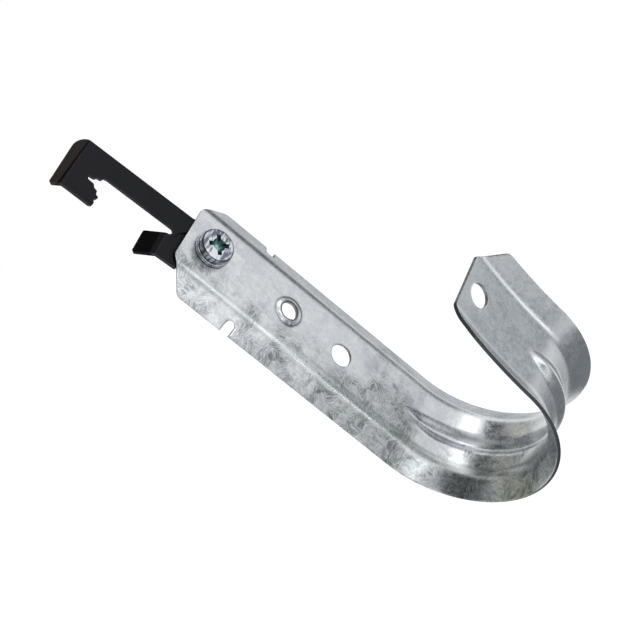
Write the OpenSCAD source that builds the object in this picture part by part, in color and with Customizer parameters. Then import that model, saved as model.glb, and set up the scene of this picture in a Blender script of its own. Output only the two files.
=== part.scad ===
// J hook cable support with a toothed spring-steel clip.
// The hook is one strip of galvanised sheet: a channel-section back plate, a round
// loop with a stiffening rib, and a flared lip. A pan-head screw, a split lock washer
// and a square nut hold the clip against the back of the plate.
// Frame: +Z up the plate, -Y towards the cables, X across the strip. The origin is
// on the axis of the plain fixing hole, at the middle of the sheet.

/* [Sheet] */
// Thickness of the hook's sheet
sheet = 1.0; // [0.8:0.1:1.4]
// Half width across the two folds, measured where their planes cross
fold_half = 10.7; // [10.5:0.1:11.5]
// Angle that each edge flange turns back from the plate
fold_angle = 34.7; // [30:0.1:40]
// Width of each edge flange, from the crossing of the planes
flange_w = 7.85; // [7.5:0.05:8.5]
// Bend radius on the back of each fold
fold_r = 4.6; // [3.5:0.1:5]

/* [Back plate] */
// Height of the top edge above the plain fixing hole
top_z = 57.6; // [56:0.1:64]
// Half width of the straight part of the top edge
top_half = 9.3; // [8.5:0.1:10]
// Height of the clip screw above the plain fixing hole
screw_z = 49; // [48:0.1:50]
// Height of the tapped collar above the plain fixing hole
collar_z = 20.6; // [18:0.1:24]
// Radius of the plain fixing hole and of the lip hole
hole_r = 3.5; // [3:0.1:3.8]
// Height of the two side notches above the plain fixing hole
notch_z = 32.8; // [30:0.1:36]
// Width of a side notch
notch_w = 3.1; // [2.5:0.1:4]
// Depth of a side notch from the flange's edge
notch_d = 4.2; // [3:0.1:4.8]

/* [Loop] */
// Distance from the plain fixing hole down to where the loop begins
straight = 29.7; // [28:0.1:34]
// Inside radius of the loop's first quarter, below the plate
loop_r1 = 24.9; // [22:0.1:27]
// Inside radius of the rest of the loop, up to the lip
loop_r2 = 26.9; // [24:0.1:29]
// Depth of the stiffening rib pressed out of the loop
rib_depth = 1.4; // [1:0.1:1.6]
// Radius of the rib's round groove
rib_r = 3.1; // [2.5:0.1:3.5]
// Radius along which the rib rises at each end
rib_lead = 10; // [8:0.5:14]

/* [Lip] */
// Length of the lip along its inner face
lip_l = 30.7; // [28:0.1:34]
// Radius of the lip's outward flare
lip_r = 167.5; // [120:0.5:250]
// Half width of the lip's straight end
tip_half = 9.1; // [8.5:0.1:10]
// Distance from the lip's end to the centre of its hole
tip_hole = 6.1; // [5.5:0.1:8]

/* [Clip] */
// Thickness of the clip's spring steel
clip_t = 1.2; // [0.9:0.1:1.4]
// Angle the clip is turned about its screw
clip_turn = 2.6; // [0:0.1:4]
// Height of the clip's top bend above the screw
clip_h = 44.7; // [44:0.1:46]
// Width of the clip's arm
arm_w = 7.2; // [6:0.1:8]
// Length of the flange bent back at the top of the clip
end_l = 3.4; // [3:0.1:5]
// Length of the tab bent back beside the arm
tab_l = 6.9; // [6:0.1:9]

/* [Fastener] */
// Radius of the screw's shank
shank_r = 2.7; // [2.4:0.1:2.8]
// Radius of the pan head
head_r = 5.2; // [4.8:0.1:5.6]
// Height of the pan head
head_h = 3.4; // [3:0.1:3.8]
// Thickness of the split lock washer
washer_t = 1.5; // [1.2:0.1:1.8]
// Outer radius of the split lock washer
washer_r = 5.6; // [5:0.1:5.8]
// Distance across the flats of the square nut
nut_af = 11.1; // [10:0.1:11.2]
// Thickness of the square nut
nut_t = 4.4; // [3.5:0.1:5]

/* [Hidden] */
$fn = 96;
eps = 0.01;
fold_tan = (fold_r + sheet) * tan(fold_angle / 2);
flat_half = fold_half - fold_tan;
flange_l = flange_w - fold_tan;
half_w = fold_half + flange_w * cos(fold_angle);
fold_steps = 6;
// Angles whose sine and cosine are round numbers, so that the curved stretches meet exactly:
// the loop from the plate to the lip, the loop to the rib's end, and the clip's two bends
loop_a = 180 - atan2(0.07584, 0.99712);
rib_end = 180 - atan2(0.28, 0.96);
clip_bend = atan2(0.752192, 0.658944);
// Flare of the whole lip
lip_flare = lip_l / lip_r * 180 / PI;
// Collar: height above the plate, its outer cone and the cone behind its thread
collar_h = 1;
collar_base = 4.7;
collar_top = 3.6;
collar_back = 4.1;
thread_r = 2.75;
// Clip: outer edge of the arm, root of the tab, inside radius of its bends
arm_out = 5.6;
tab_v = 12.9;
bend_r = 0.3;
// Round recess coined into the clip's hub: centre, radius, depth
coin = [-4.75, 5.7];
coin_r = 5.7;
coin_depth = 0.6;
// Angle of the hub's relief, which lets it pass behind the folded corner of the plate
relief = 24;
// Screw: clearance round the shank, rounding of the head, cross recess
screw_gap = 0.3;
head_round = 1.4;
recess_r = 2.9;
recess_w = 1.5;
recess_d = 2.2;
recess_turn = 45;
shank_l = sheet + clip_t + nut_t + 1.6;
// Split of the lock washer and turn of the nut
split_turn = -40;
split_slant = 25;
split_w = 0.8;
nut_turn = -25;
// Centres of the loop's two arcs, in the strip's side view: they meet at the lowest point
c1 = [-sheet / 2 - loop_r1, straight, 0];
c2 = c1 + [0, loop_r1 - loop_r2, 0];

// Points of an outline given as corners [x, y, r], each rounded to its own radius r
function unit(v) = v / norm(v);
function flat(p) = [p.x, p.y];
function spin(v, g) = [v.x * cos(g) - v.y * sin(g), v.x * sin(g) + v.y * cos(g)];
function side(u, w) = u.x * w.y - u.y * w.x < 0 ? 1 : -1;
function arc(m, s, sweep) = [for (i = [0 : 6]) m + spin(s, sweep * i / 6)];
function fillet(b, u, w, half, r) =
    let (m = b + unit(u + w) * r / sin(half))
    arc(m, b + u * r / tan(half) - m, side(u, w) * (180 - 2 * half));
function corner(a, b, c) =
    let (p = flat(b), u = unit(flat(a) - p), w = unit(flat(c) - p))
    b.z == 0 ? [p] : fillet(p, u, w, acos(u * w) / 2, b.z);
function rounded(p) =
    let (n = len(p))
    [for (i = [0 : n - 1]) each corner(p[(i + n - 1) % n], p[i], p[(i + 1) % n])];

// Cross-section of the strip: x is the depth behind the inner face, y runs across
function fold_arc(r) =
    [for (i = [0 : fold_steps]) let (g = fold_angle * i / fold_steps)
        [sheet + fold_r - r * cos(g), flat_half + r * sin(g)]];
function backwards(p) = [for (i = [len(p) - 1 : -1 : 0]) p[i]];
function mirrored(p) = [for (q = backwards(p)) [q.x, -q.y]];

module channel() {
    edge = flange_l * [sin(fold_angle), cos(fold_angle)];
    inner = fold_arc(fold_r + sheet);
    outer = fold_arc(fold_r);
    side = concat(inner, [inner[fold_steps] + edge, outer[fold_steps] + edge], backwards(outer));
    polygon(concat(side, mirrored(side)));
}

// Keeps what lies on the lip's side of the loop's lowest point
module lip_side() {
    difference() {
        children();
        translate([c1.x, -100, -50]) cube([100, 300, 100]);
    }
}

// The strip bent along its side view: x is behind the plate, y runs down it
module strip() {
    translate([-sheet / 2, straight, 0]) rotate([90, 0, 0])
        linear_extrude(straight + top_z) channel();
    translate(c1) rotate_extrude(angle = 90) translate([loop_r1, 0]) channel();
    lip_side() translate(c2) rotate([0, 0, loop_a]) {
        mirror([0, 1, 0]) rotate_extrude(angle = 120) translate([loop_r2, 0]) channel();
        translate([loop_r2 + lip_r, 0, 0]) mirror([1, 0, 0])
            rotate_extrude(angle = lip_flare) translate([lip_r, 0]) mirror([1, 0]) channel();
    }
}

// A rib of radius r that is reach deep into the sheet, swept round with its crest at crest
module rib_arc(crest, r, reach, angle) {
    rotate_extrude(angle = angle) intersection() {
        translate([crest - rib_r, 0]) circle(r = r);
        translate([crest - reach, -r - 1]) square([reach + r, 2 * r + 2]);
    }
}

// The rib's end, which rises out of the sheet on a small radius
module rib_rise(crest, r, reach) {
    translate([crest - rib_lead, 0, 0]) rib_arc(rib_lead, r, reach, 45);
}

// The groove pressed into the inner face
module rib_groove() {
    reach = rib_depth + 0.5;
    crest1 = loop_r1 + rib_depth;
    crest2 = loop_r2 + rib_depth;
    translate(c1) {
        rib_arc(crest1, rib_r, reach, 90);
        mirror([0, 1, 0]) rib_rise(crest1, rib_r, reach);
    }
    lip_side() translate(c2) rotate([0, 0, rib_end]) {
        mirror([0, 1, 0]) rib_arc(crest2, rib_r, reach, 120);
        rib_rise(crest2, rib_r, reach);
    }
}

// The ridge on the outer face, one sheet thicker than the groove
module rib_ridge() {
    reach = rib_depth - 0.3;
    crest1 = loop_r1 + rib_depth;
    crest2 = loop_r2 + rib_depth;
    translate(c1) {
        rib_arc(crest1, rib_r + sheet, reach, 90);
        intersection() {
            mirror([0, 1, 0]) rib_rise(crest1, rib_r + sheet, reach);
            translate([loop_r1 + 0.5 * sheet, -30, -10]) cube([20, 40, 20]);
        }
    }
    lip_side() translate(c2) rotate([0, 0, rib_end])
        mirror([0, 1, 0]) rib_arc(crest2, rib_r + sheet, reach, 120);
    intersection() {
        translate(c2) rotate([0, 0, rib_end]) rib_rise(crest2, rib_r + sheet, reach);
        translate(c2) rotate([0, 0, loop_a]) translate([loop_r2 + lip_r, 0, -10])
            cylinder(r = lip_r - 0.5 * sheet, h = 20);
    }
}

// Everything outside an end outline: straight for half_end each side, then cut at 45 degrees
module corner_cuts(half_end, r_end, r_side) {
    run = half_w - half_end;
    far = half_w + 8;
    outline = [[0, half_end, r_end], [run, half_w, r_side], [run + 8, far, 0],
               [run + 8, -far, 0], [run, -half_w, r_side], [0, -half_end, r_end]];
    translate([-20, 0, 0]) rotate([90, 0, 90]) linear_extrude(40) difference() {
        translate([-9, -half_w - 5]) square([run + 9, 2 * half_w + 10]);
        polygon(rounded(outline));
    }
}

// A place on the lip, d along it from the loop: x points to the cable side
module on_lip(d) {
    translate(c2) rotate([0, 0, loop_a]) translate([loop_r2 + lip_r, 0, 0])
        rotate([0, 0, 180 - lip_flare * d / lip_l]) translate([lip_r, 0, 0]) children();
}

// The notches in the two edge flanges
module notches() {
    for (side = [0, 1])
        mirror([0, 0, side]) translate([sheet / 2 + fold_r, -notch_z, flat_half])
            rotate([0, fold_angle, 0]) translate([-fold_r - 2 * sheet, 0, flange_l - notch_d + notch_w / 2]) {
                translate([0, -notch_w / 2, 0]) cube([3 * sheet, notch_w, notch_d + 1]);
                rotate([0, 90, 0]) cylinder(r = notch_w / 2, h = 3 * sheet);
            }
}

// A round cutter along the depth of the plate
module drill(z, r) {
    translate([-sheet, -z, 0]) rotate([0, 90, 0]) cylinder(r = r, h = 2 * sheet);
}

// The one-thread impression, raised to the cable side as a low cone
module collar() {
    translate([-sheet / 2 - collar_h, -collar_z, 0]) rotate([0, 90, 0])
        cylinder(r1 = collar_top, r2 = collar_base, h = collar_h + eps);
}

module collar_hole() {
    translate([-sheet / 2, -collar_z, 0]) rotate([0, 90, 0]) {
        translate([0, 0, -collar_h - 1]) cylinder(r = thread_r, h = collar_h + 1);
        translate([0, 0, -eps]) cylinder(r1 = thread_r, r2 = collar_back, h = sheet + 2 * eps);
    }
}

module j_hook() {
    color("#aab0b0") rotate([-90, 0, 90]) difference() {
        union() {
            strip();
            rib_ridge();
            collar();
        }
        rib_groove();
        collar_hole();
        notches();
        drill(0, hole_r);
        drill(screw_z, shank_r + screw_gap);
        translate([0, -top_z, 0]) corner_cuts(top_half, 2, 3);
        on_lip(lip_l) corner_cuts(tip_half, 1.5, 2);
        on_lip(lip_l - tip_hole) translate([-2 * sheet, 0, 0]) rotate([0, 90, 0])
            cylinder(r = hole_r, h = 3 * sheet);
    }
}

// Flat blank of the clip: arm, hooked jaw with its teeth, tab neck and round hub
module clip_blank() {
    arm_in = arm_out - arm_w;
    jaw = [[arm_out, clip_h, 0], [-12.1, clip_h, 0], [-12.2, 36, 0.4], [-11.8, 35.2, 0.2]];
    teeth = [[-10.8, 35.2, 0.1], [-10.3, 35.8, 0.2], [-8.6, 34.8, 0.2], [-8.1, 35.9, 0.15],
             [-7, 36.1, 0.15], [-6.7, 37.2, 0.2], [-5.7, 37.9, 0.15], [-5.5, 40, 0.4],
             [-4.2, 40.3, 0.4], [-3.9, 38.4, 0.15], [-3.1, 37.7, 0.15], [-2.9, 36.6, 0.15],
             [-1.9, 36.1, 0.2], [arm_in, 35.2, 0.3]];
    neck = [[arm_in, 12, 1], [-3.2, 12.1, 0.5], [-4, tab_v, 0], [-12.2, tab_v, 0], [-12, 6.2, 0.5]];
    hub = [[-8.9, -3.6, 4], [-6, -8.6, 3], [5, -8.6, 4], [8.2, 0, 5], [arm_out, 9, 4]];
    difference() {
        polygon(rounded(concat(jaw, teeth, neck, hub)));
        circle(r = shank_r + screw_gap);
    }
}

// Cuts the hub back along the plate's folded corner, up to the corner's own 45 degree edge
module fold_relief() {
    line = top_z - screw_z + top_half + 0.3;
    intersection() {
        translate([-flat_half, -20, clip_t]) rotate([0, -relief, 0]) translate([-20, 0, 0])
            cube([20, 40, 5]);
        translate([0, 0, -1]) linear_extrude(clip_t + 4)
            polygon([[-9, line - 9], [-20, line - 20], [-20, -9], [-9, -9]]);
    }
}

// A flange bent back from the edge of the blank, l long beyond its bend; r_end rounds its far corner
module bent(x0, x1, l, r_end) {
    w = x1 - x0;
    translate([x0, 0, -bend_r]) {
        difference() {
            rotate([90, 0, 90]) rotate([0, 0, 90]) mirror([0, 1, 0])
                rotate_extrude(angle = clip_bend + 5) translate([bend_r, 0]) square([clip_t, w]);
            rotate([-clip_bend, 0, 0]) translate([-1, 0, -5]) cube([w + 2, 10, 20]);
        }
        rotate([-clip_bend, 0, 0]) translate([0, 0, bend_r]) linear_extrude(clip_t)
            polygon(rounded([[0, 0, 0], [w, 0, 0], [w, l, r_end], [0, l, 0.6]]));
    }
}

module spring_clip() {
    color("#26282f") translate([0, sheet / 2 + clip_t, screw_z]) rotate([90, 0, 0]) difference() {
        rotate([0, 0, clip_turn]) {
            difference() {
                linear_extrude(clip_t) clip_blank();
                translate([coin.x, coin.y, clip_t - coin_depth]) cylinder(r = coin_r, h = 1);
            }
            translate([0, clip_h, 0]) bent(-12.1, arm_out, end_l, 2.8);
            translate([0, tab_v, 0]) bent(-12.2, -4, tab_l, 0.6);
        }
        fold_relief();
    }
}

// Places a fastener on the screw's axis: z points to the cable side from the plate's face
module on_screw() {
    translate([0, -sheet / 2, screw_z]) rotate([90, 0, 0]) children();
}

// Round-edged pan head with a tapered cross recess
module pan_head() {
    difference() {
        rotate_extrude() {
            square([head_r - head_round, head_h]);
            square([head_r, head_h - head_round]);
            translate([head_r - head_round, head_h - head_round]) intersection() {
                circle(r = head_round);
                square(head_round);
            }
        }
        translate([0, 0, head_h - recess_d]) rotate([0, 0, recess_turn]) intersection() {
            cylinder(r1 = recess_r / 3, r2 = recess_r + eps, h = recess_d + eps);
            for (a = [0, 90])
                rotate([0, 0, a]) translate([-recess_r - 1, -recess_w / 2, 0])
                    cube([2 * recess_r + 2, recess_w, recess_d + 1]);
        }
    }
}

module clip_screw() {
    color("#c6cad4") on_screw() {
        translate([0, 0, washer_t]) pan_head();
        translate([0, 0, -shank_l]) cylinder(r = shank_r, h = shank_l + washer_t + eps);
    }
}

module lock_washer() {
    color("#b4b8c0") on_screw() difference() {
        cylinder(r = washer_r, h = washer_t);
        translate([0, 0, -eps]) cylinder(r = shank_r + screw_gap, h = washer_t + 2 * eps);
        rotate([0, 0, split_turn]) translate([0, 0, washer_t / 2]) rotate([split_slant, 0, 0])
            translate([0, -split_w / 2, -5]) cube([10, split_w, 10]);
    }
}

module square_nut() {
    color("#9aa0a8") on_screw() rotate([0, 0, nut_turn]) translate([0, 0, -sheet - clip_t - nut_t])
        difference() {
            intersection() {
                translate([-nut_af / 2, -nut_af / 2, 0]) cube([nut_af, nut_af, nut_t]);
                cylinder(r1 = nut_af * 0.6, r2 = nut_af * 0.6 + 2 * nut_t, h = nut_t);
            }
            translate([0, 0, -eps]) cylinder(r = shank_r, h = nut_t + 2 * eps);
        }
}

j_hook();
spring_clip();
clip_screw();
lock_washer();
square_nut();
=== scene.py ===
import math
import bmesh
import bpy
from mathutils import Matrix, Vector


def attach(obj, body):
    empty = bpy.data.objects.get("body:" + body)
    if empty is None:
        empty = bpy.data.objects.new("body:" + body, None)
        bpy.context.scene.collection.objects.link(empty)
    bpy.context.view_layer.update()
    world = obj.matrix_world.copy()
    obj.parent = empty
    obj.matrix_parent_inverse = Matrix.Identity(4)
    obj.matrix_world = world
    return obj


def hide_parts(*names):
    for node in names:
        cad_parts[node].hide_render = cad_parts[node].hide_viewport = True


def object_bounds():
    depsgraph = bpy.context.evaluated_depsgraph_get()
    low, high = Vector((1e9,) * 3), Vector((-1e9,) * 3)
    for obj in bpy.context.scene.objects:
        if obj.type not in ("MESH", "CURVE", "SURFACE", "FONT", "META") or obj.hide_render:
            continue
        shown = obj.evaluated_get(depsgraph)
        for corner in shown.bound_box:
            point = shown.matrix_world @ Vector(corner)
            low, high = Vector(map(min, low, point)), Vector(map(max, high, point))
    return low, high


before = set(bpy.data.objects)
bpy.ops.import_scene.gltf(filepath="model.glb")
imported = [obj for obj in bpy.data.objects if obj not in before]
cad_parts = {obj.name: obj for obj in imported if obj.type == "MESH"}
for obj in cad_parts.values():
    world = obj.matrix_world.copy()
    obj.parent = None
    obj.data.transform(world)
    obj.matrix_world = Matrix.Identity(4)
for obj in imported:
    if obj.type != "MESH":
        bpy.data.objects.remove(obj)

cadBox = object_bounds()
mm = 0.001  # the frame is in metres, and the sizes below are in mm
scene = bpy.context.scene


# Small tools shared by the pieces

def linear(hexText):
    parts = [int(hexText[i:i + 2], 16) / 255 for i in (1, 3, 5)]
    return [p / 12.92 if p <= 0.04045 else ((p + 0.055) / 1.055) ** 2.4 for p in parts] + [1.0]


def clamp(x, low=0.0, high=1.0):
    return max(low, min(high, x))


def ease(x):
    x = clamp(x)
    return x * x * (3 - 2 * x)


def setInputs(tree, node, inputs):
    # an input gets a plain value, a socket, or the first output in use of another node
    for name, value in inputs.items():
        socket = node.inputs[name]
        if isinstance(value, bpy.types.Node):
            value = next(out for out in value.outputs if out.enabled)
        if isinstance(value, bpy.types.NodeSocket):
            tree.links.new(value, socket)
        else:
            socket.default_value = value


def addNode(tree, kind, settings=None, inputs=None):
    node = tree.nodes.new(kind)
    for name, value in (settings or {}).items():
        setattr(node, name, value)
    setInputs(tree, node, inputs or {})
    return node


def rampStops(node, stops):
    ramp = node.color_ramp
    while len(ramp.elements) < len(stops):
        ramp.elements.new(0.5)
    for element, (place, colour) in zip(ramp.elements, stops):
        element.position = place
        element.color = linear(colour)


def emptyTree(owner):
    # the node tree of a material or of the world, with nothing in it yet
    owner.use_nodes = True
    owner.node_tree.nodes.clear()
    return owner.node_tree


def newMaterial(name):
    material = bpy.data.materials.new(name)
    tree = emptyTree(material)
    shader = addNode(tree, "ShaderNodeBsdfPrincipled")
    addNode(tree, "ShaderNodeOutputMaterial", inputs={"Surface": shader})
    return material, tree, shader


def addObject(name, data):
    made = bpy.data.objects.new(name, data)
    scene.collection.objects.link(made)
    return made


def addMesh(bm, name):
    # a new object from a bmesh, which is freed
    mesh = bpy.data.meshes.new(name)
    bm.to_mesh(mesh)
    bm.free()
    return addObject(name, mesh)


def makePiece(bm, name, material, node, sharpAngle=40):
    piece = addMesh(bm, name)
    piece.data.materials.append(material)
    for face in piece.data.polygons:
        face.use_smooth = True
    piece.data.set_sharp_from_angle(angle=math.radians(sharpAngle))
    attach(piece, "root")
    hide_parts(node)
    return piece


def carve(bm, cutter):
    # takes the cutter's shape out of bm, and frees both
    body, tool = addMesh(bm, "body"), addMesh(cutter, "tool")
    cut = body.modifiers.new("cut", "BOOLEAN")
    cut.operation, cut.solver, cut.object = "DIFFERENCE", "EXACT", tool
    result = bmesh.new()
    result.from_object(body, bpy.context.evaluated_depsgraph_get())
    for work in (body, tool):
        bpy.data.objects.remove(work)
    return result


# The hook: one strip of galvanised sheet, cut as a flat blank, then pressed and bent.
# Flat blank, in mm: x across, y down the strip from its top edge, z through the sheet.
# Heights on the plate are over the wall hole, and the lip's hole is measured from the strip's end

hook = {
    "sheet": 1.0,
    "foldHalf": 10.7, "foldAngle": 34.7, "flange": 7.85, "foldRadius": 4.6,
    "lipFoldAngle": 39.5, "tipFoldAngle": 41.0, "lipFlange": 7.2, "tipFlange": 6.9,
    "top": 57.6, "straight": 29.7, "loop1": 24.9, "loop2": 26.9, "loopAngle": 175.65,
    "lip": 30.7, "lipRadius": 167.5,
    "topHalf": 9.3, "topRounds": (2.0, 3.0), "tipHalf": 9.1, "tipRounds": (1.5, 2.0),
    "hole": 3.5, "screwHole": 3.0, "screwHeight": 49.0, "lipHole": 6.1,
    "collarHeight": 20.6, "collarHole": 2.75, "collarBase": 4.9,
    "collarRise": 0.75, "collarFlat": 0.15, "collarPitch": 0.7, "slitTurn": 0.13,
    "notchHeight": 32.8, "notchWidth": 3.1, "notchDepth": 4.2,
    "ribDepth": 1.25, "ribHalf": 3.6, "ribTip": 0.12,
    "ribBefore": 5.0, "ribLead": 13.0, "ribAfter": 3.0, "ribTail": 11.0,
    "columns": 60, "rowStep": 0.62, "endRows": 7, "endDepth": 0.9, "collarFine": 6.2,
    "rimBand": 1.2, "evenBand": 1.6, "notchRimBand": 0.8, "notchEvenBand": 1.2,  # rows near a cut that move
    "edgeRound": 0.13, "planUnit": 200.0,
}

loopStart = hook["top"] + hook["straight"]
lowest = loopStart + hook["loop1"] * math.pi / 2
lipStart = lowest + hook["loop2"] * math.radians(hook["loopAngle"] - 90)
stripEnd = lipStart + hook["lip"]


def sectionAt(s):
    # half width of the flat, fold angle and flange of the channel at s down the strip
    turned, along = ease((s - lowest) / (lipStart - lowest)), clamp((s - lipStart) / hook["lip"])
    angle = math.radians(hook["foldAngle"] + turned * (hook["lipFoldAngle"] - hook["foldAngle"])
                         + along * (hook["tipFoldAngle"] - hook["lipFoldAngle"]))
    flange = (hook["flange"] + turned * (hook["lipFlange"] - hook["flange"])
              + along * (hook["tipFlange"] - hook["lipFlange"]))
    tangent = (hook["foldRadius"] + hook["sheet"]) * math.tan(angle / 2)
    return hook["foldHalf"] - tangent, angle, flange - tangent


def unfolded(half, s):
    # half width of the flat blank that folds to this half width
    flat, angle = sectionAt(s)[:2]
    radius = hook["foldRadius"] + hook["sheet"]
    if half <= flat:
        return half
    if half <= flat + radius * math.sin(angle):
        return flat + radius * math.asin((half - flat) / radius)
    return flat + radius * angle + (half - flat - radius * math.sin(angle)) / math.cos(angle)


def chamferedHalf(d, endHalf, fullHalf, endRound, sideRound):
    # outline at d from a strip end that is cut at 45 degrees with rounded corners
    run, short, long = fullHalf - endHalf, 1 - math.sqrt(0.5), math.tan(math.pi / 8)
    if d < short * endRound:
        return endHalf - long * endRound + math.sqrt(endRound ** 2 - (endRound - d) ** 2)
    if d < run - short * sideRound:
        return endHalf + d
    if d < run + long * sideRound:
        return fullHalf - sideRound + math.sqrt(sideRound ** 2 - (run + long * sideRound - d) ** 2)
    return fullHalf


def blankHalf(s):
    flat, angle, flange = sectionAt(s)
    full = flat + (hook["foldRadius"] + hook["sheet"]) * math.sin(angle) + flange * math.cos(angle)
    half = min(chamferedHalf(s, hook["topHalf"], full, *hook["topRounds"]),
               chamferedHalf(stripEnd - s, hook["tipHalf"], full, *hook["tipRounds"]))
    return unfolded(half, s)


def rowPlaces():
    # rows of the blank: close together at both ends, and one on each side of the notches
    middle, reach = hook["top"] - hook["notchHeight"], hook["notchWidth"] / 2
    ends = [hook["endDepth"] * (i / hook["endRows"]) ** 2 for i in range(hook["endRows"] + 1)]
    stops = [ends[-1], middle - reach, middle + reach, stripEnd - ends[-1]]
    rows = ends[:-1]
    for a, b in zip(stops, stops[1:]):
        count = round((b - a) / hook["rowStep"])
        rows += [a + (b - a) * i / count for i in range(count)]
    return rows + [stripEnd - d for d in reversed(ends)]


def evenOut(bm, centre, reach, passes):
    # spreads the rows round a cut, so that none of its faces is left as a sliver
    near = [v for v in bm.verts if not v.is_boundary and (v.co - centre).length < reach]
    for _ in range(passes):
        bmesh.ops.smooth_vert(bm, verts=near, factor=0.5, use_axis_x=True, use_axis_y=True)


def punch(bm, centre, radius):
    # a round hole: the faces inside go, and the edge left is spread evenly on the circle
    inside = [f for f in bm.faces if (f.calc_center_median() - centre).length < radius]
    bmesh.ops.delete(bm, geom=inside, context="FACES")
    rim = [v for v in bm.verts if v.is_boundary and (v.co - centre).length < radius + hook["rimBand"]]
    rim.sort(key=lambda v: math.atan2(v.co.y - centre.y, v.co.x - centre.x))
    start = math.atan2(rim[0].co.y - centre.y, rim[0].co.x - centre.x)
    for i, v in enumerate(rim):
        turn = start + 2 * math.pi * i / len(rim)
        v.co = centre + radius * Vector((math.cos(turn), math.sin(turn), 0))
    evenOut(bm, centre, radius + hook["evenBand"], 6)


def cutNotch(bm, side):
    # a slot with a round end, in from the flange's edge
    middle, reach = hook["top"] - hook["notchHeight"], hook["notchWidth"] / 2
    centre = Vector((side * (blankHalf(middle) - hook["notchDepth"] + reach), middle, 0))
    inside = [f for f in bm.faces
              if abs(f.calc_center_median().y - middle) < reach
              and ((f.calc_center_median().x - centre.x) * side > 0
                   or (f.calc_center_median() - centre).length < reach)]
    bmesh.ops.delete(bm, geom=inside, context="FACES")
    bmesh.ops.delete(bm, geom=[v for v in bm.verts if not v.link_faces], context="VERTS")
    for v in bm.verts:
        away = v.co - centre
        if v.is_boundary and side * away.x < 0 and away.length < reach + hook["notchRimBand"]:
            v.co = centre + away.normalized() * reach
    evenOut(bm, centre, reach + hook["notchEvenBand"], 3)


def pressedDepth(x, y):
    # how far the sheet is pushed back by the rib, or forward by the tapped collar
    start, end = loopStart - hook["ribBefore"], lipStart + hook["ribAfter"]
    grown = min(clamp((y - start) / hook["ribLead"]), clamp((end - y) / hook["ribTail"]))
    half = hook["ribHalf"] * (hook["ribTip"] + (1 - hook["ribTip"]) * grown ** 0.7)
    depth = 0.0
    if abs(x) < half and grown > 0:
        depth = hook["ribDepth"] * ease(grown * 1.6) * math.cos(math.pi / 2 * x / half) ** 1.6
    away = Vector((x, y - (hook["top"] - hook["collarHeight"])))
    if away.length < hook["collarBase"]:
        # the rim climbs once round, as one thread, and drops at the slit
        turn = (math.atan2(away.y, away.x) / (2 * math.pi) - hook["slitTurn"]) % 1
        rise = hook["collarRise"] + hook["collarPitch"] * (turn - 0.5)
        wall = hook["collarBase"] - hook["collarHole"] - hook["collarFlat"]
        depth -= rise * ease((hook["collarBase"] - away.length) / wall)
    return depth


def bend(point):
    # from the flat blank to the folded and curved strip, in metres
    x, s, z = point
    flat, angle = sectionAt(s)[:2]
    sheet, radius = hook["sheet"], hook["foldRadius"] + hook["sheet"]
    side, w = math.copysign(1, x), abs(x)
    turn = clamp((w - flat) / radius, 0, angle)
    beyond = max(0, w - flat - radius * angle)
    across = min(w, flat) + (radius - z) * math.sin(turn) + beyond * math.cos(angle)
    behind = radius - (radius - z) * math.cos(turn) + beyond * math.sin(angle)
    behind += pressedDepth(x, s)
    face = -sheet / 2
    if s < loopStart:
        y, up = face + behind, hook["top"] - s
    elif s < lowest:
        g, r = (s - loopStart) / hook["loop1"], hook["loop1"] + behind
        y, up = face - hook["loop1"] + r * math.cos(g), -hook["straight"] - r * math.sin(g)
    else:
        g = math.pi / 2 + (min(s, lipStart) - lowest) / hook["loop2"]
        cy = face - hook["loop1"]
        cz = -hook["straight"] + hook["loop2"] - hook["loop1"]
        r = hook["loop2"] + behind
        if s > lipStart:
            # the lip curves the other way, about a far centre outside the loop
            cy += (hook["loop2"] + hook["lipRadius"]) * math.cos(g)
            cz -= (hook["loop2"] + hook["lipRadius"]) * math.sin(g)
            r = -(hook["lipRadius"] - behind)
            g -= (s - lipStart) / hook["lipRadius"]
        y, up = cy + r * math.cos(g), cz - r * math.sin(g)
    return Vector((-side * across, y, up)) * mm


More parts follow.
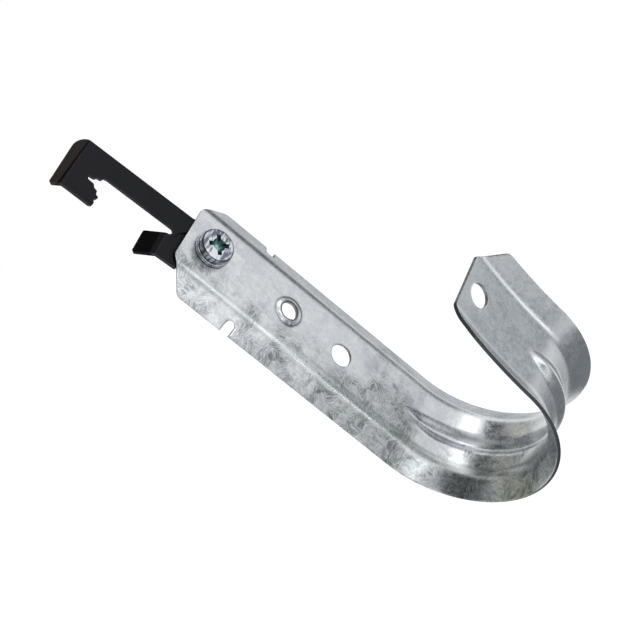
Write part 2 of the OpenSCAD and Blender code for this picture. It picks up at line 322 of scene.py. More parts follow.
def makeHook(material, edgeMaterial):
    rows, columns = rowPlaces(), hook["columns"]
    bm = bmesh.new()
    bmesh.ops.create_grid(bm, x_segments=columns, y_segments=len(rows) - 1, size=1)
    for v in bm.verts:
        s = rows[round((v.co.y + 1) / 2 * (len(rows) - 1))]
        v.co = Vector((v.co.x * blankHalf(s), s, 0))
    collar = Vector((0, hook["top"] - hook["collarHeight"], 0))
    fine = [e for e in bm.edges if all((v.co - collar).length < hook["collarFine"] for v in e.verts)]
    bmesh.ops.subdivide_edges(bm, edges=fine, cuts=1, use_grid_fill=True)
    punch(bm, collar, hook["collarHole"])
    punch(bm, Vector((0, hook["top"], 0)), hook["hole"])
    punch(bm, Vector((0, hook["top"] - hook["screwHeight"], 0)), hook["screwHole"])
    punch(bm, Vector((0, stripEnd - hook["lipHole"], 0)), hook["hole"])
    for side in (-1, 1):
        cutNotch(bm, side)
    # the sheet's thickness, then its cut edges slightly rounded
    made = bmesh.ops.extrude_face_region(bm, geom=bm.faces[:], use_keep_orig=True)
    moved = [v for v in made["geom"] if isinstance(v, bmesh.types.BMVert)]
    bmesh.ops.translate(bm, vec=(0, 0, hook["sheet"]), verts=moved)
    bmesh.ops.recalc_face_normals(bm, faces=bm.faces[:])
    bm.normal_update()
    edges = [e for e in bm.edges if len(e.link_faces) == 2 and e.calc_face_angle() > 1.0
             and abs(e.verts[0].co.z - e.verts[1].co.z) < 0.01]
    bmesh.ops.bevel(bm, geom=edges, offset=hook["edgeRound"], offset_type="OFFSET", segments=2,
                    profile=0.5, affect="EDGES", material=-1, clamp_overlap=True)
    bm.normal_update()
    # the blank's own plan is kept as a UV map, with its front and back side by side
    plan, unit = bm.loops.layers.uv.new("sheetPlan"), hook["planUnit"]
    for face in bm.faces:
        # the straight wall of the cut edge is bare steel
        if abs(face.normal.z) < 0.2:
            face.material_index = 1
        shift = 0.75 if face.calc_center_median().z > hook["sheet"] / 2 else 0.25
        for corner in face.loops:
            corner[plan].uv = (shift + corner.vert.co.x / unit, corner.vert.co.y / unit)
    for v in bm.verts:
        v.co = bend(v.co)
    bmesh.ops.recalc_face_normals(bm, faces=bm.faces[:])
    piece = makePiece(bm, "hookStrip", material, "j_hook")
    piece.data.materials.append(edgeMaterial)
    print("hook strip:", len(piece.data.polygons), "faces")
    return piece


# Copies of the CAD solids whose edges only need rounding

def roundedCopy(node, name, material, width, edgeMaterial=None):
    bm = bmesh.new()
    bm.from_mesh(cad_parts[node].data)
    bmesh.ops.remove_doubles(bm, verts=bm.verts[:], dist=0.002 * mm)
    bmesh.ops.dissolve_limit(bm, angle_limit=math.radians(0.5), verts=bm.verts[:], edges=bm.edges[:])
    if edgeMaterial:
        bm.normal_update()
        for face in bm.faces:
            face.material_index = 1 if abs(face.normal.y) < 0.3 else 0
    piece = makePiece(bm, name, material, node, 30)
    if edgeMaterial:
        piece.data.materials.append(edgeMaterial)
    soften = piece.modifiers.new("roundEdges", "BEVEL")
    soften.width, soften.segments, soften.limit_method = width * mm, 2, "ANGLE"
    soften.angle_limit = math.radians(35)
    piece.modifiers.new("evenShading", "WEIGHTED_NORMAL")
    print(name + ":", len(piece.data.polygons), "faces")
    return piece


# The fasteners are turned about the screw's axis: z is the height over the plate's face

fastener = {
    "height": hook["screwHeight"], "plateFace": -hook["sheet"] / 2,
    "headRadius": 5.2, "headHeight": 2.4, "shoulderWide": 0.8, "shoulderTall": 0.75, "crown": 0.25,
    "shankRadius": 2.7, "shankLength": 8.2, "threadPitch": 1.05, "threadDepth": 0.42,
    "recessTurn": 31, "recessHalf": 3.4, "recessWidth": 1.4, "recessDepth": 2.1,
    "footLong": 0.36, "footWide": 0.75,  # the share of the recess's length and width left at its foot
    "pointRadius": 2.05, "pointFoot": 1.1,
    "washerThick": 1.5, "washerRadius": 5.6, "washerHole": 3.0, "washerRound": 0.16,
    "splitTurn": -40, "splitGap": 7, "splitRise": 0.32,
}
screwFoot = (0, fastener["plateFace"] * mm, fastener["height"] * mm)
onScrew = Matrix.Translation(screwFoot) @ Matrix.Rotation(math.pi / 2, 4, "X")
upAxis = Vector((0, 0, 1))


def turned(profile, steps=96):
    # a closed shape from a profile of (radius, height), in mm
    bm = bmesh.new()
    verts = [bm.verts.new((r, 0, z)) for r, z in profile]
    edges = [bm.edges.new(pair) for pair in zip(verts, verts[1:])]
    bmesh.ops.spin(bm, geom=verts + edges, cent=(0, 0, 0), axis=upAxis, angle=2 * math.pi, steps=steps,
                   use_merge=True, dvec=(0, 0, 0))
    bmesh.ops.remove_doubles(bm, verts=bm.verts[:], dist=0.001)
    bmesh.ops.recalc_face_normals(bm, faces=bm.faces[:])
    return bm


def fromScrewAxis(tree, place):
    across = addNode(tree, "ShaderNodeVectorMath", {"operation": "MULTIPLY"},
                     {0: place.outputs["Object"], 1: (1, 0, 1)})
    return addNode(tree, "ShaderNodeVectorMath", {"operation": "DISTANCE"},
                   {0: across, 1: (0, 0, fastener["height"] * mm)})


# the dark colour is painted shade in the recess's arms
passivate = {"pale": "#a3cbc6", "green": "#4f7f80", "armShade": "#2b3a40", "greenTo": 1.0, "darkFrom": 2.4}


def makeRecessTint():
    # chromate passivate pools in the cross recess and is greenish at its centre, while its arms are painted
    # nearly black, a painted shade
    material, tree, shader = newMaterial("passivateWithArmShade")
    place = addNode(tree, "ShaderNodeTexCoord")
    pool = addNode(tree, "ShaderNodeTexNoise",
                   inputs={"Vector": place.outputs["Object"], "Scale": 1200.0, "Detail": 2.0})
    arms = addNode(tree, "ShaderNodeMapRange",
                   inputs={"Value": fromScrewAxis(tree, place), "From Min": passivate["greenTo"] * mm,
                           "From Max": passivate["darkFrom"] * mm})
    tone = addNode(tree, "ShaderNodeValToRGB", inputs={"Fac": pool})
    rampStops(tone, [(0.35, passivate["green"]), (0.65, passivate["pale"])])
    # painted shade: the arms are nearly black
    colour = addNode(tree, "ShaderNodeMix", {"data_type": "RGBA"},
                     {"Factor": arms, "A": tone, "B": linear(passivate["armShade"])})
    rough = addNode(tree, "ShaderNodeMapRange", inputs={"Value": pool, "To Min": 0.3, "To Max": 0.5})
    setInputs(tree, shader, {"Base Color": colour, "Roughness": rough, "Metallic": 0.8})
    return material


def headProfile(core, end):
    # a pan head: a short straight side, a wide round shoulder and a top that is a little crowned
    radius, height, base = fastener["headRadius"], fastener["headHeight"], fastener["washerThick"]
    wide, tall, crown = fastener["shoulderWide"], fastener["shoulderTall"], fastener["crown"]
    chamfer, edge = 0.5, 0.12
    profile = [(0, end), (core - chamfer, end), (core, end + chamfer), (core, base),
               (radius - edge, base), (radius, base + edge)]
    for i in range(15):
        g = math.pi / 2 * i / 14
        profile.append((radius - wide * (1 - math.cos(g)), base + height - crown - tall * (1 - math.sin(g))))
    for i in range(1, 7):
        r = (radius - wide) * (1 - i / 6)
        profile.append((r, base + height - crown * (r / (radius - wide)) ** 2))
    return profile


def cutRecess(bm, base, top):
    # two crossed blades that narrow towards their foot, and a pointed pit between them
    foot = top - fastener["recessDepth"]
    for quarter in (0, 90):
        blade = bmesh.new()
        bmesh.ops.create_cube(blade, size=1)
        for v in blade.verts:
            low = v.co.z < 0
            v.co = Vector((v.co.x * 2 * (fastener["recessHalf"] * (fastener["footLong"] if low else 1)),
                           v.co.y * fastener["recessWidth"] * (fastener["footWide"] if low else 1),
                           foot if low else top))
        bmesh.ops.rotate(blade, verts=blade.verts[:], cent=(0, 0, 0),
                         matrix=Matrix.Rotation(math.radians(fastener["recessTurn"] + quarter), 3, "Z"))
        bm = carve(bm, blade)
    point = turned([(0, foot - 0.45), (fastener["pointFoot"], foot + 0.15),
                    (fastener["pointRadius"], top), (0, top)], 24)
    bm = carve(bm, point)
    # the walls and the foot of the recess get the passivate colour with its painted shade
    reach, pit, margin = fastener["recessHalf"] + 0.2, 2.5, 0.2
    for face in bm.faces:
        middle = face.calc_center_median()
        if middle.z > base and middle.xy.length < reach and face.normal.z < 0.9:
            face.material_index = 1
        if base + margin < middle.z < foot + margin:
            face.material_index = 1 if middle.xy.length < pit else 0
    return bm


def windThread(bm, core, end):
    # one ridge wound round the core, from its end to under the head
    pitch, steps = fastener["threadPitch"], 36
    turns = (fastener["shankLength"] - 0.7) / pitch
    start, half = end + 0.5, 0.42 * pitch
    ridge = [(core - 0.1, start - half), (fastener["shankRadius"], start), (core - 0.1, start + half)]
    verts = [bm.verts.new((r, 0, z)) for r, z in ridge]
    loop = [bm.edges.new((verts[i], verts[(i + 1) % 3])) for i in range(3)]
    cap = bm.faces.new(verts)
    bmesh.ops.spin(bm, geom=[cap] + loop + verts, cent=(0, 0, 0), axis=upAxis,
                   angle=2 * math.pi * turns, steps=round(steps * turns), dvec=(0, 0, pitch / steps))
    bmesh.ops.recalc_face_normals(bm, faces=bm.faces[:])


def makeScrew(material, recessTint):
    base, end = fastener["washerThick"], -fastener["shankLength"]
    core = fastener["shankRadius"] - fastener["threadDepth"]
    bm = turned(headProfile(core, end))
    bm = cutRecess(bm, base, base + fastener["headHeight"] + 0.02)
    windThread(bm, core, end)
    bmesh.ops.transform(bm, matrix=onScrew @ Matrix.Scale(mm, 4), verts=bm.verts[:])
    piece = makePiece(bm, "panScrew", material, "clip_screw", 28)
    piece.data.materials.append(recessTint)
    print("pan screw:", len(piece.data.polygons), "faces")
    return piece


def makeWasher(material):
    # a square section swept nearly once round, so that it climbs and leaves a split
    inner, outer = fastener["washerHole"], fastener["washerRadius"]
    rise, thick = fastener["splitRise"], fastener["washerThick"] - fastener["splitRise"]
    bm = bmesh.new()
    section = [bm.verts.new((r, 0, z)) for r, z in ((inner, 0), (outer, 0), (outer, thick), (inner, thick))]
    face = bm.faces.new(section)
    bmesh.ops.bevel(bm, geom=face.verts[:], offset=fastener["washerRound"], offset_type="OFFSET",
                    segments=3, profile=0.5, affect="VERTICES", material=-1)
    start, steps = fastener["splitTurn"] + fastener["splitGap"] / 2, 90
    bmesh.ops.rotate(bm, verts=bm.verts[:], cent=(0, 0, 0),
                     matrix=Matrix.Rotation(math.radians(start), 3, "Z"))
    bmesh.ops.spin(bm, geom=bm.faces[:] + bm.edges[:] + bm.verts[:], cent=(0, 0, 0), axis=upAxis,
                   angle=math.radians(360 - fastener["splitGap"]), steps=steps, dvec=(0, 0, rise / steps))
    bmesh.ops.recalc_face_normals(bm, faces=bm.faces[:])
    bmesh.ops.transform(bm, matrix=onScrew @ Matrix.Scale(mm, 4), verts=bm.verts[:])
    piece = makePiece(bm, "splitWasher", material, "lock_washer", 35)
    print("split washer:", len(piece.data.polygons), "faces")
    return piece


# Materials

galvanised = {
    "bright": "#d6d9dc", "grey": "#bec2c5", "violet": "#c0c0cc", "white": "#e6e9ea", "rubbed": "#c6cacd",
    # the last colour on the next line is painted shade for the collar
    "leafDark": "#505756", "leafGrey": "#838988", "leafLight": "#bcc1c0", "collarShade": "#2c2f31",
    "crystal": 2.8, "leafWide": 0.26, "leafLong": 2.0, "roughLow": 0.2, "roughHigh": 0.36,
    # how dense the leaves are, along the strip between these two places
    "patchFrom": 20.0, "patchTo": 130.0,
    "patchStops": [(0.16, "#000000"), (0.4, "#6c6c6c"), (0.48, "#a8a8a8"), (0.54, "#a0a0a0"),
                   (0.62, "#484848"), (0.76, "#303030"), (0.83, "#8a8a8a"), (0.92, "#8a8a8a"),
                   (1.0, "#606060")],
    # how dark the painted shade rings round the collar are, between these two radii
    "ringFrom": 2.0, "ringTo": 6.0,
    "ringStops": [(0.22, "#ffffff"), (0.34, "#202020"), (0.5, "#303030"),
                  (0.6, "#d8d8d8"), (0.68, "#909090"), (0.8, "#000000")],
    # stretches of the strip where the leaves fade, the lip gets rubbed and the painted line along the folds
    # turns from grey to a white painted highlight; and, across the strip, where the painted shade line lies
    # beside a fold
    "plainFrom": 128.0, "plainTo": 150.0, "rubbedFrom": 125.0, "rubbedTo": 145.0,
    "foldPaintFrom": 25.0, "foldPaintTo": 55.0, "foldShadeLine": 8.7,
}
frontMiddle, backStart = hook["planUnit"] / 4, hook["planUnit"] / 2  # across the sheet's plan, in mm


def crystalLeaves(tree, sheet):
    # crystals with ragged borders, each filled with narrow leaves along its own heading
    ragged = addNode(tree, "ShaderNodeTexNoise", {"noise_dimensions": "2D"},
                     {"Vector": sheet, "Scale": 0.9, "Detail": 2.0})
    offset = addNode(tree, "ShaderNodeVectorMath", {"operation": "MULTIPLY_ADD"},
                     {0: ragged.outputs["Color"], 1: (2.2, 2.2, 0), 2: sheet})
    crystals = addNode(tree, "ShaderNodeTexVoronoi", {"voronoi_dimensions": "2D"},
                       {"Vector": offset, "Scale": 1 / galvanised["crystal"]})
    chance = addNode(tree, "ShaderNodeSeparateColor", inputs={"Color": crystals.outputs["Color"]})
    heading = addNode(tree, "ShaderNodeMath", {"operation": "MULTIPLY"},
                      {0: chance.outputs["Red"], 1: 2 * math.pi})
    rotated = addNode(tree, "ShaderNodeVectorRotate", {"rotation_type": "Z_AXIS"},
                      {"Vector": sheet, "Angle": heading})
    along = addNode(tree, "ShaderNodeMapping",
                    inputs={"Vector": rotated,
                            "Scale": (1 / galvanised["leafWide"], 1 / galvanised["leafLong"], 1)})
    leaves = addNode(tree, "ShaderNodeTexVoronoi", {"voronoi_dimensions": "2D"},
                     {"Vector": along, "Scale": 1.0})
    leaf = addNode(tree, "ShaderNodeSeparateColor", inputs={"Color": leaves.outputs["Color"]})
    return offset, chance, leaf


def leafPatches(tree, place, drift, chance):
    # how much the leaves show: the leaves are the zinc's own spangle, and their bands down the strip are
    # partly painted shade; they show more towards one edge and least on the back
    spangleAndShadeBands = addNode(tree, "ShaderNodeMapRange",
                       inputs={"Value": place.outputs["Y"], "From Min": galvanised["patchFrom"],
                               "From Max": galvanised["patchTo"]})
    spangleAndShadeBands = addNode(tree, "ShaderNodeValToRGB", inputs={"Fac": spangleAndShadeBands})
    rampStops(spangleAndShadeBands, galvanised["patchStops"])
    lipPart = addNode(tree, "ShaderNodeMapRange", {"interpolation_type": "SMOOTHSTEP"},
                      {"Value": place.outputs["Y"], "From Min": galvanised["plainFrom"],
                       "From Max": galvanised["plainTo"], "To Min": 0.0, "To Max": -0.3})
    sideways = addNode(tree, "ShaderNodeMapRange",
                       inputs={"Value": place.outputs["X"], "From Min": frontMiddle - 3,
                               "From Max": frontMiddle + 8, "To Min": -0.2, "To Max": 0.2})
    strength = spangleAndShadeBands
    for more in (sideways, lipPart, drift):
        strength = addNode(tree, "ShaderNodeMath", {"operation": "ADD"}, {0: strength, 1: more})
    patch = addNode(tree, "ShaderNodeMapRange", {"interpolation_type": "SMOOTHSTEP"},
                    {"Value": strength, "From Min": 0.5, "From Max": 0.9, "To Min": 0.04, "To Max": 0.85})
    back = addNode(tree, "ShaderNodeMath", {"operation": "GREATER_THAN"},
                   {0: place.outputs["X"], 1: backStart})
    front = addNode(tree, "ShaderNodeMapRange", inputs={"Value": back, "To Min": 1.0, "To Max": 0.4})
    uneven = addNode(tree, "ShaderNodeMapRange",
                     inputs={"Value": chance.outputs["Blue"], "From Min": 0.15, "From Max": 0.75,
                             "To Min": 0.5, "To Max": 1.0})
    for share in (front, uneven):
        patch = addNode(tree, "ShaderNodeMath", {"operation": "MULTIPLY"}, {0: patch, 1: share})
    return patch


def awayFrom(tree, value, line):
    # how far a place lies to either side of a line
    past = addNode(tree, "ShaderNodeMath", {"operation": "SUBTRACT"}, {0: value, 1: line})
    return addNode(tree, "ShaderNodeMath", {"operation": "ABSOLUTE"}, {0: past})


def foldShadeAndHighlight(tree, place, grain, colour):
    # painted shade: a soft dark line just inside one fold; and a blotchy painted line along the middle of
    # both folds, grey near the top and a white painted highlight lower down
    grey, white = linear(galvanised["leafGrey"]), linear(galvanised["white"])
    lower = addNode(tree, "ShaderNodeMapRange",
                    inputs={"Value": place.outputs["Y"], "From Min": galvanised["foldPaintFrom"],
                            "From Max": galvanised["foldPaintTo"]})
    fromMiddle = addNode(tree, "ShaderNodeMath", {"operation": "SUBTRACT"},
                         {0: place.outputs["X"], 1: frontMiddle})
    # painted shade: a soft dark line just inside one fold, fading in down the strip
    paintedFoldShade = addNode(tree, "ShaderNodeMapRange", {"interpolation_type": "SMOOTHSTEP"},
                      {"Value": awayFrom(tree, fromMiddle, galvanised["foldShadeLine"]),
                       "From Min": 0.1, "From Max": 1.1, "To Min": 0.45, "To Max": 0.0})
    paintedFoldShade = addNode(tree, "ShaderNodeMath", {"operation": "MULTIPLY"}, {0: paintedFoldShade, 1: lower})
    colour = addNode(tree, "ShaderNodeMix", {"data_type": "RGBA"},
                     {"Factor": paintedFoldShade, "A": colour, "B": grey})
    # painted highlight: a blotchy line along the middle of both folds, grey near the top and white lower
    # down
    eitherSide = addNode(tree, "ShaderNodeMath", {"operation": "ABSOLUTE"}, {0: fromMiddle})
    paintedFoldLine = addNode(tree, "ShaderNodeMapRange", {"interpolation_type": "SMOOTHSTEP"},
                       {"Value": awayFrom(tree, eitherSide, hook["foldHalf"]),
                        "From Min": 0.5, "From Max": 2.0, "To Min": 0.5, "To Max": 0.0})
    blotches = addNode(tree, "ShaderNodeMapRange",
                       inputs={"Value": grain, "From Min": 0.2, "From Max": 0.45})
    paintedFoldLine = addNode(tree, "ShaderNodeMath", {"operation": "MULTIPLY"}, {0: paintedFoldLine, 1: blotches})
    foldTone = addNode(tree, "ShaderNodeMix", {"data_type": "RGBA"},
                       {"Factor": lower, "A": grey, "B": white})
    colour = addNode(tree, "ShaderNodeMix", {"data_type": "RGBA"},
                     {"Factor": paintedFoldLine, "A": colour, "B": foldTone})
    return colour, paintedFoldLine


def collarShadeRings(tree, sheet, colour):
    # painted shade: dark in the collar's mouth and in a ring round its foot
    collar = (frontMiddle, hook["top"] - hook["collarHeight"], 0)
    away = addNode(tree, "ShaderNodeVectorMath", {"operation": "DISTANCE"}, {0: sheet, 1: collar})
    ring = addNode(tree, "ShaderNodeMapRange",
                   inputs={"Value": away, "From Min": galvanised["ringFrom"],
                           "From Max": galvanised["ringTo"]})
    ring = addNode(tree, "ShaderNodeValToRGB", inputs={"Fac": ring})
    rampStops(ring, galvanised["ringStops"])
    return addNode(tree, "ShaderNodeMix", {"data_type": "RGBA"},
                   {"Factor": ring, "A": colour, "B": linear(galvanised["collarShade"])})


def makeGalvanised():
    # hot-dip galvanised sheet: the zinc froze in crystals a few mm wide. Each is a spray of
    # straight narrow leaves that lie one way. They show in dark patches, between areas of even grey
    material, tree, shader = newMaterial("hotDipGalvanisedSheet")
    plan, unit = addNode(tree, "ShaderNodeUVMap", {"uv_map": "sheetPlan"}), hook["planUnit"]
    sheet = addNode(tree, "ShaderNodeMapping", inputs={"Vector": plan, "Scale": (unit, unit, 1)})
    place = addNode(tree, "ShaderNodeSeparateXYZ", inputs={"Vector": sheet})
    offset, chance, leaf = crystalLeaves(tree, sheet)
    drift = addNode(tree, "ShaderNodeTexNoise", {"noise_dimensions": "2D"},
                    {"Vector": offset, "Scale": 0.11, "Detail": 4.0, "Roughness": 0.6})
    patch = leafPatches(tree, place, drift, chance)
    # between the leaves fine mottling, small steps from crystal to crystal, and a bluish to violet drift
    grain = addNode(tree, "ShaderNodeTexNoise", {"noise_dimensions": "2D"},
                    {"Vector": sheet, "Scale": 0.7, "Detail": 7.0, "Roughness": 0.72})
    steps = addNode(tree, "ShaderNodeMix", {"data_type": "FLOAT"},
                    {"Factor": 0.16, "A": grain, "B": chance.outputs["Green"]})
    tone = addNode(tree, "ShaderNodeValToRGB", inputs={"Fac": steps})
    rampStops(tone, [(0.32, galvanised["grey"]), (0.55, galvanised["bright"]), (0.72, galvanised["white"])])
    tint = addNode(tree, "ShaderNodeMapRange",
                   inputs={"Value": drift, "From Min": 0.45, "From Max": 0.62, "To Min": 0.0,
                           "To Max": 0.5})
    even = addNode(tree, "ShaderNodeMix", {"data_type": "RGBA"},
                   {"Factor": tint, "A": tone, "B": linear(galvanised["violet"])})
    # the lip was rubbed smooth where it left the bending roll
    rubbed = addNode(tree, "ShaderNodeMapRange",
                     inputs={"Value": place.outputs["Y"], "From Min": galvanised["rubbedFrom"],
                             "From Max": galvanised["rubbedTo"], "To Min": 0.0, "To Max": 0.75})
    even = addNode(tree, "ShaderNodeMix", {"data_type": "RGBA"},
                   {"Factor": rubbed, "A": even, "B": linear(galvanised["rubbed"])})
    spray = addNode(tree, "ShaderNodeValToRGB", inputs={"Fac": leaf.outputs["Red"]})
    rampStops(spray, [(0.05, galvanised["leafDark"]), (0.55, galvanised["leafGrey"]),
                      (0.95, galvanised["leafLight"])])
    colour = addNode(tree, "ShaderNodeMix", {"data_type": "RGBA"}, {"Factor": patch, "A": even, "B": spray})
    # painted shade and painted highlight along the folds
    colour, paintedFoldLine = foldShadeAndHighlight(tree, place, grain, colour)
    # painted shade rings round the tapped collar
    colour = collarShadeRings(tree, sheet, colour)
    rough = addNode(tree, "ShaderNodeMapRange",
                    inputs={"Value": steps, "From Min": 0.3, "From Max": 0.7,
                            "To Min": galvanised["roughLow"], "To Max": galvanised["roughHigh"]})
    # the leaves stand a few hundredths proud of one another, so in the patches they glint one by one, except
    # along the painted fold line, where they are kept flat
    relief = addNode(tree, "ShaderNodeMath", {"operation": "MULTIPLY"}, {0: leaf.outputs["Green"], 1: patch})
    flatAlongFoldLine = addNode(tree, "ShaderNodeMath", {"operation": "MULTIPLY_ADD"}, {0: paintedFoldLine, 1: -2.0, 2: 1.0})
    relief = addNode(tree, "ShaderNodeMath", {"operation": "MULTIPLY"}, {0: relief, 1: flatAlongFoldLine})
    relief = addNode(tree, "ShaderNodeMix", {"data_type": "FLOAT"}, {"Factor": 0.3, "A": relief, "B": grain})
    bump = addNode(tree, "ShaderNodeBump",
                   inputs={"Strength": 0.35, "Distance": 0.025 * mm, "Height": relief})
    setInputs(tree, shader, {"Base Color": colour, "Roughness": rough, "Normal": bump, "Metallic": 1.0})
    return material


cutEdge = {  # cleanTo and shearedFrom are in mm from the middle of the strip
    "dull": "#6b6f71", "bright": "#a4a8aa", "sheared": "#4a4e50", "cleanTo": 7.0, "shearedFrom": 9.0,
}


def makeCutEdge():
    # the sheet's cut edge: steel with a thin smear of zinc, darker and duller than its faces
    material, tree, shader = newMaterial("shearedSteelEdge")
    place = addNode(tree, "ShaderNodeTexCoord")
    smear = addNode(tree, "ShaderNodeTexNoise",
                    inputs={"Vector": place.outputs["Object"], "Scale": 900.0, "Detail": 3.0})
    tone = addNode(tree, "ShaderNodeValToRGB", inputs={"Fac": smear})
    rampStops(tone, [(0.35, cutEdge["dull"]), (0.7, cutEdge["bright"])])
    # the long edges were sheared and are darker, while the holes were punched in a clean die
    side = addNode(tree, "ShaderNodeSeparateXYZ", inputs={"Vector": place.outputs["Object"]})
    side = addNode(tree, "ShaderNodeMath", {"operation": "ABSOLUTE"}, {0: side.outputs["X"]})
    side = addNode(tree, "ShaderNodeMapRange",
                   inputs={"Value": side, "From Min": cutEdge["cleanTo"] * mm,
                           "From Max": cutEdge["shearedFrom"] * mm})
    tone = addNode(tree, "ShaderNodeMix", {"data_type": "RGBA"},
                   {"Factor": side, "A": tone, "B": linear(cutEdge["sheared"])})
    rough = addNode(tree, "ShaderNodeMapRange", inputs={"Value": smear, "To Min": 0.35, "To Max": 0.6})
    setInputs(tree, shader, {"Base Color": tone, "Roughness": rough, "Metallic": 1.0})
    return material


phosphate = {  # in mm: how far behind the plate the bent parts begin, and how high the top part begins
    # the lighter edge colours are a painted highlight along the clip's cut edges
    "face": ("#090a10", "#12131b"), "edge": ("#1c1d22", "#34353b"),
    # the colours for the bent parts and for the crease below the top part are painted shade
    "bentShade": "#040405", "tempered": "#2c2725", "creaseShade": "#000000",
    "bentFrom": 1.75, "bentTo": 2.1, "endFrom": 94.3, "endTo": 94.7, "crease": 94.4,
    "grit": 0.4, "roughLow": 0.38, "roughHigh": 0.55, "sheen": 0.2, "sheenDull": 0.06, "edgeRound": 0.14,
}


def makeSpringSteel(name, low, high):
    # spring steel with a black phosphate and oil finish: dark, a little bluish, with a soft sheen
    material, tree, shader = newMaterial(name)
    place = addNode(tree, "ShaderNodeTexCoord")
    cloud = addNode(tree, "ShaderNodeTexNoise",
                    inputs={"Vector": place.outputs["Object"], "Scale": 90.0, "Detail": 4.0})
    tone = addNode(tree, "ShaderNodeValToRGB", inputs={"Fac": cloud})
    rampStops(tone, [(0.3, low), (0.7, high)])
    # the parts bent back are painted blacker, a painted shade, and the top one is browner from tempering
    spot = addNode(tree, "ShaderNodeSeparateXYZ", inputs={"Vector": place.outputs["Object"]})
    bent = addNode(tree, "ShaderNodeMapRange",
                   inputs={"Value": spot.outputs["Y"], "From Min": phosphate["bentFrom"] * mm,
                           "From Max": phosphate["bentTo"] * mm})
    shadedBent = addNode(tree, "ShaderNodeMix", {"data_type": "RGBA"},
                   {"Factor": bent, "A": tone, "B": linear(phosphate["bentShade"])})
    end = addNode(tree, "ShaderNodeMapRange",
                  inputs={"Value": spot.outputs["Z"], "From Min": phosphate["endFrom"] * mm,
                          "From Max": phosphate["endTo"] * mm})
    cast = addNode(tree, "ShaderNodeMix", {"data_type": "RGBA"},
                   {"Factor": end, "A": shadedBent, "B": linear(phosphate["tempered"])})
    # a black line of painted shade lies in the crease below the top part, and the bent parts below the top,
    # and the crease, have less sheen
    crease = addNode(tree, "ShaderNodeMapRange",
                     inputs={"Value": awayFrom(tree, spot.outputs["Z"], phosphate["crease"] * mm),
                             "From Min": 0.15 * mm, "From Max": 0.35 * mm, "To Min": 0.9, "To Max": 0.0})
    cast = addNode(tree, "ShaderNodeMix", {"data_type": "RGBA"},
                   {"Factor": crease, "A": cast, "B": linear(phosphate["creaseShade"])})
    dull = addNode(tree, "ShaderNodeMath", {"operation": "SUBTRACT", "use_clamp": True}, {0: bent, 1: end})
    dull = addNode(tree, "ShaderNodeMath", {"operation": "MAXIMUM"}, {0: dull, 1: crease})
    gloss = addNode(tree, "ShaderNodeMapRange",
                    inputs={"Value": dull, "To Min": phosphate["sheen"], "To Max": phosphate["sheenDull"]})
    grit = addNode(tree, "ShaderNodeTexNoise",
                   inputs={"Vector": place.outputs["Object"], "Scale": 1 / (phosphate["grit"] * mm),
                           "Detail": 3.0})
    rough = addNode(tree, "ShaderNodeMapRange",
                    inputs={"Value": cloud, "To Min": phosphate["roughLow"],
                            "To Max": phosphate["roughHigh"]})
    bump = addNode(tree, "ShaderNodeBump", inputs={"Strength": 0.3, "Distance": 0.02 * mm, "Height": grit})
    setInputs(tree, shader, {"Base Color": cast, "Roughness": rough, "Normal": bump,
                             "Specular IOR Level": gloss})
    return material


zinc = {  # dull and bright colour, lowest and highest roughness, and a head's darker rim
    # the last colour of the screw is painted shade for its head's rim
    "screw": ("#6f7383", "#d9dce3", 0.12, 0.28, "#34373d"),
    "washer": ("#8c9298", "#b4b8bd", 0.2, 0.36),
    "nut": ("#8e939b", "#b7bcc6", 0.25, 0.45),
    "nutRound": 0.2,
}


def makeZinc(name, dull, bright, low, high, rim=None):
    # electroplated zinc with a clear blue passivate: bright, with slanted bluish streaks, light and dark,
    # and fine wear
    material, tree, shader = newMaterial(name)
    place = addNode(tree, "ShaderNodeTexCoord")
    slanted = addNode(tree, "ShaderNodeMapping",
                      inputs={"Vector": place.outputs["Object"], "Rotation": (0, math.radians(35), 0),
                              "Scale": (320, 320, 1100)})
    streaks = addNode(tree, "ShaderNodeTexNoise", inputs={"Vector": slanted, "Scale": 1.0, "Detail": 2.5})
    tone = addNode(tree, "ShaderNodeValToRGB", inputs={"Fac": streaks})
    rampStops(tone, [(0.4, dull), (0.56, bright)])
    colour = tone
    if rim:
        # painted shade: the head is darker along its rounded rim
        radius = fastener["headRadius"]
        outer = addNode(tree, "ShaderNodeMapRange",
                        inputs={"Value": fromScrewAxis(tree, place), "From Min": (radius - 1) * mm,
                                "From Max": radius * mm})
        outer = addNode(tree, "ShaderNodeValToRGB", inputs={"Fac": outer})
        rampStops(outer, [(0.3, "#000000"), (0.62, "#e6e6e6"), (0.9, "#e6e6e6"), (0.98, "#8a8a8a")])
        colour = addNode(tree, "ShaderNodeMix", {"data_type": "RGBA"},
                         {"Factor": outer, "A": colour, "B": linear(rim)})
    scratch = addNode(tree, "ShaderNodeTexNoise",
                      inputs={"Vector": place.outputs["Object"], "Scale": 900.0, "Detail": 2.0})
    rough = addNode(tree, "ShaderNodeMapRange", inputs={"Value": scratch, "To Min": low, "To Max": high})
    bump = addNode(tree, "ShaderNodeBump",
                   inputs={"Strength": 0.3, "Distance": 0.02 * mm, "Height": scratch})
    setInputs(tree, shader, {"Base Color": colour, "Roughness": rough, "Normal": bump, "Metallic": 1.0})
    return material


# Building

makeHook(makeGalvanised(), makeCutEdge())
# the clip's cut edges get a lighter grey, a painted highlight
roundedCopy("spring_clip", "toothedClip", makeSpringSteel("blackPhosphateSpringSteel", *phosphate["face"]),
            phosphate["edgeRound"],
            makeSpringSteel("phosphateEdgeHighlight", *phosphate["edge"]))
makeScrew(makeZinc("zincPlatedScrew", *zinc["screw"]), makeRecessTint())
makeWasher(makeZinc("zincPlatedWasher", *zinc["washer"]))
roundedCopy("square_nut", "squareNut", makeZinc("zincPlatedNut", *zinc["nut"]),
            zinc["nutRound"])


# Camera, light and floor

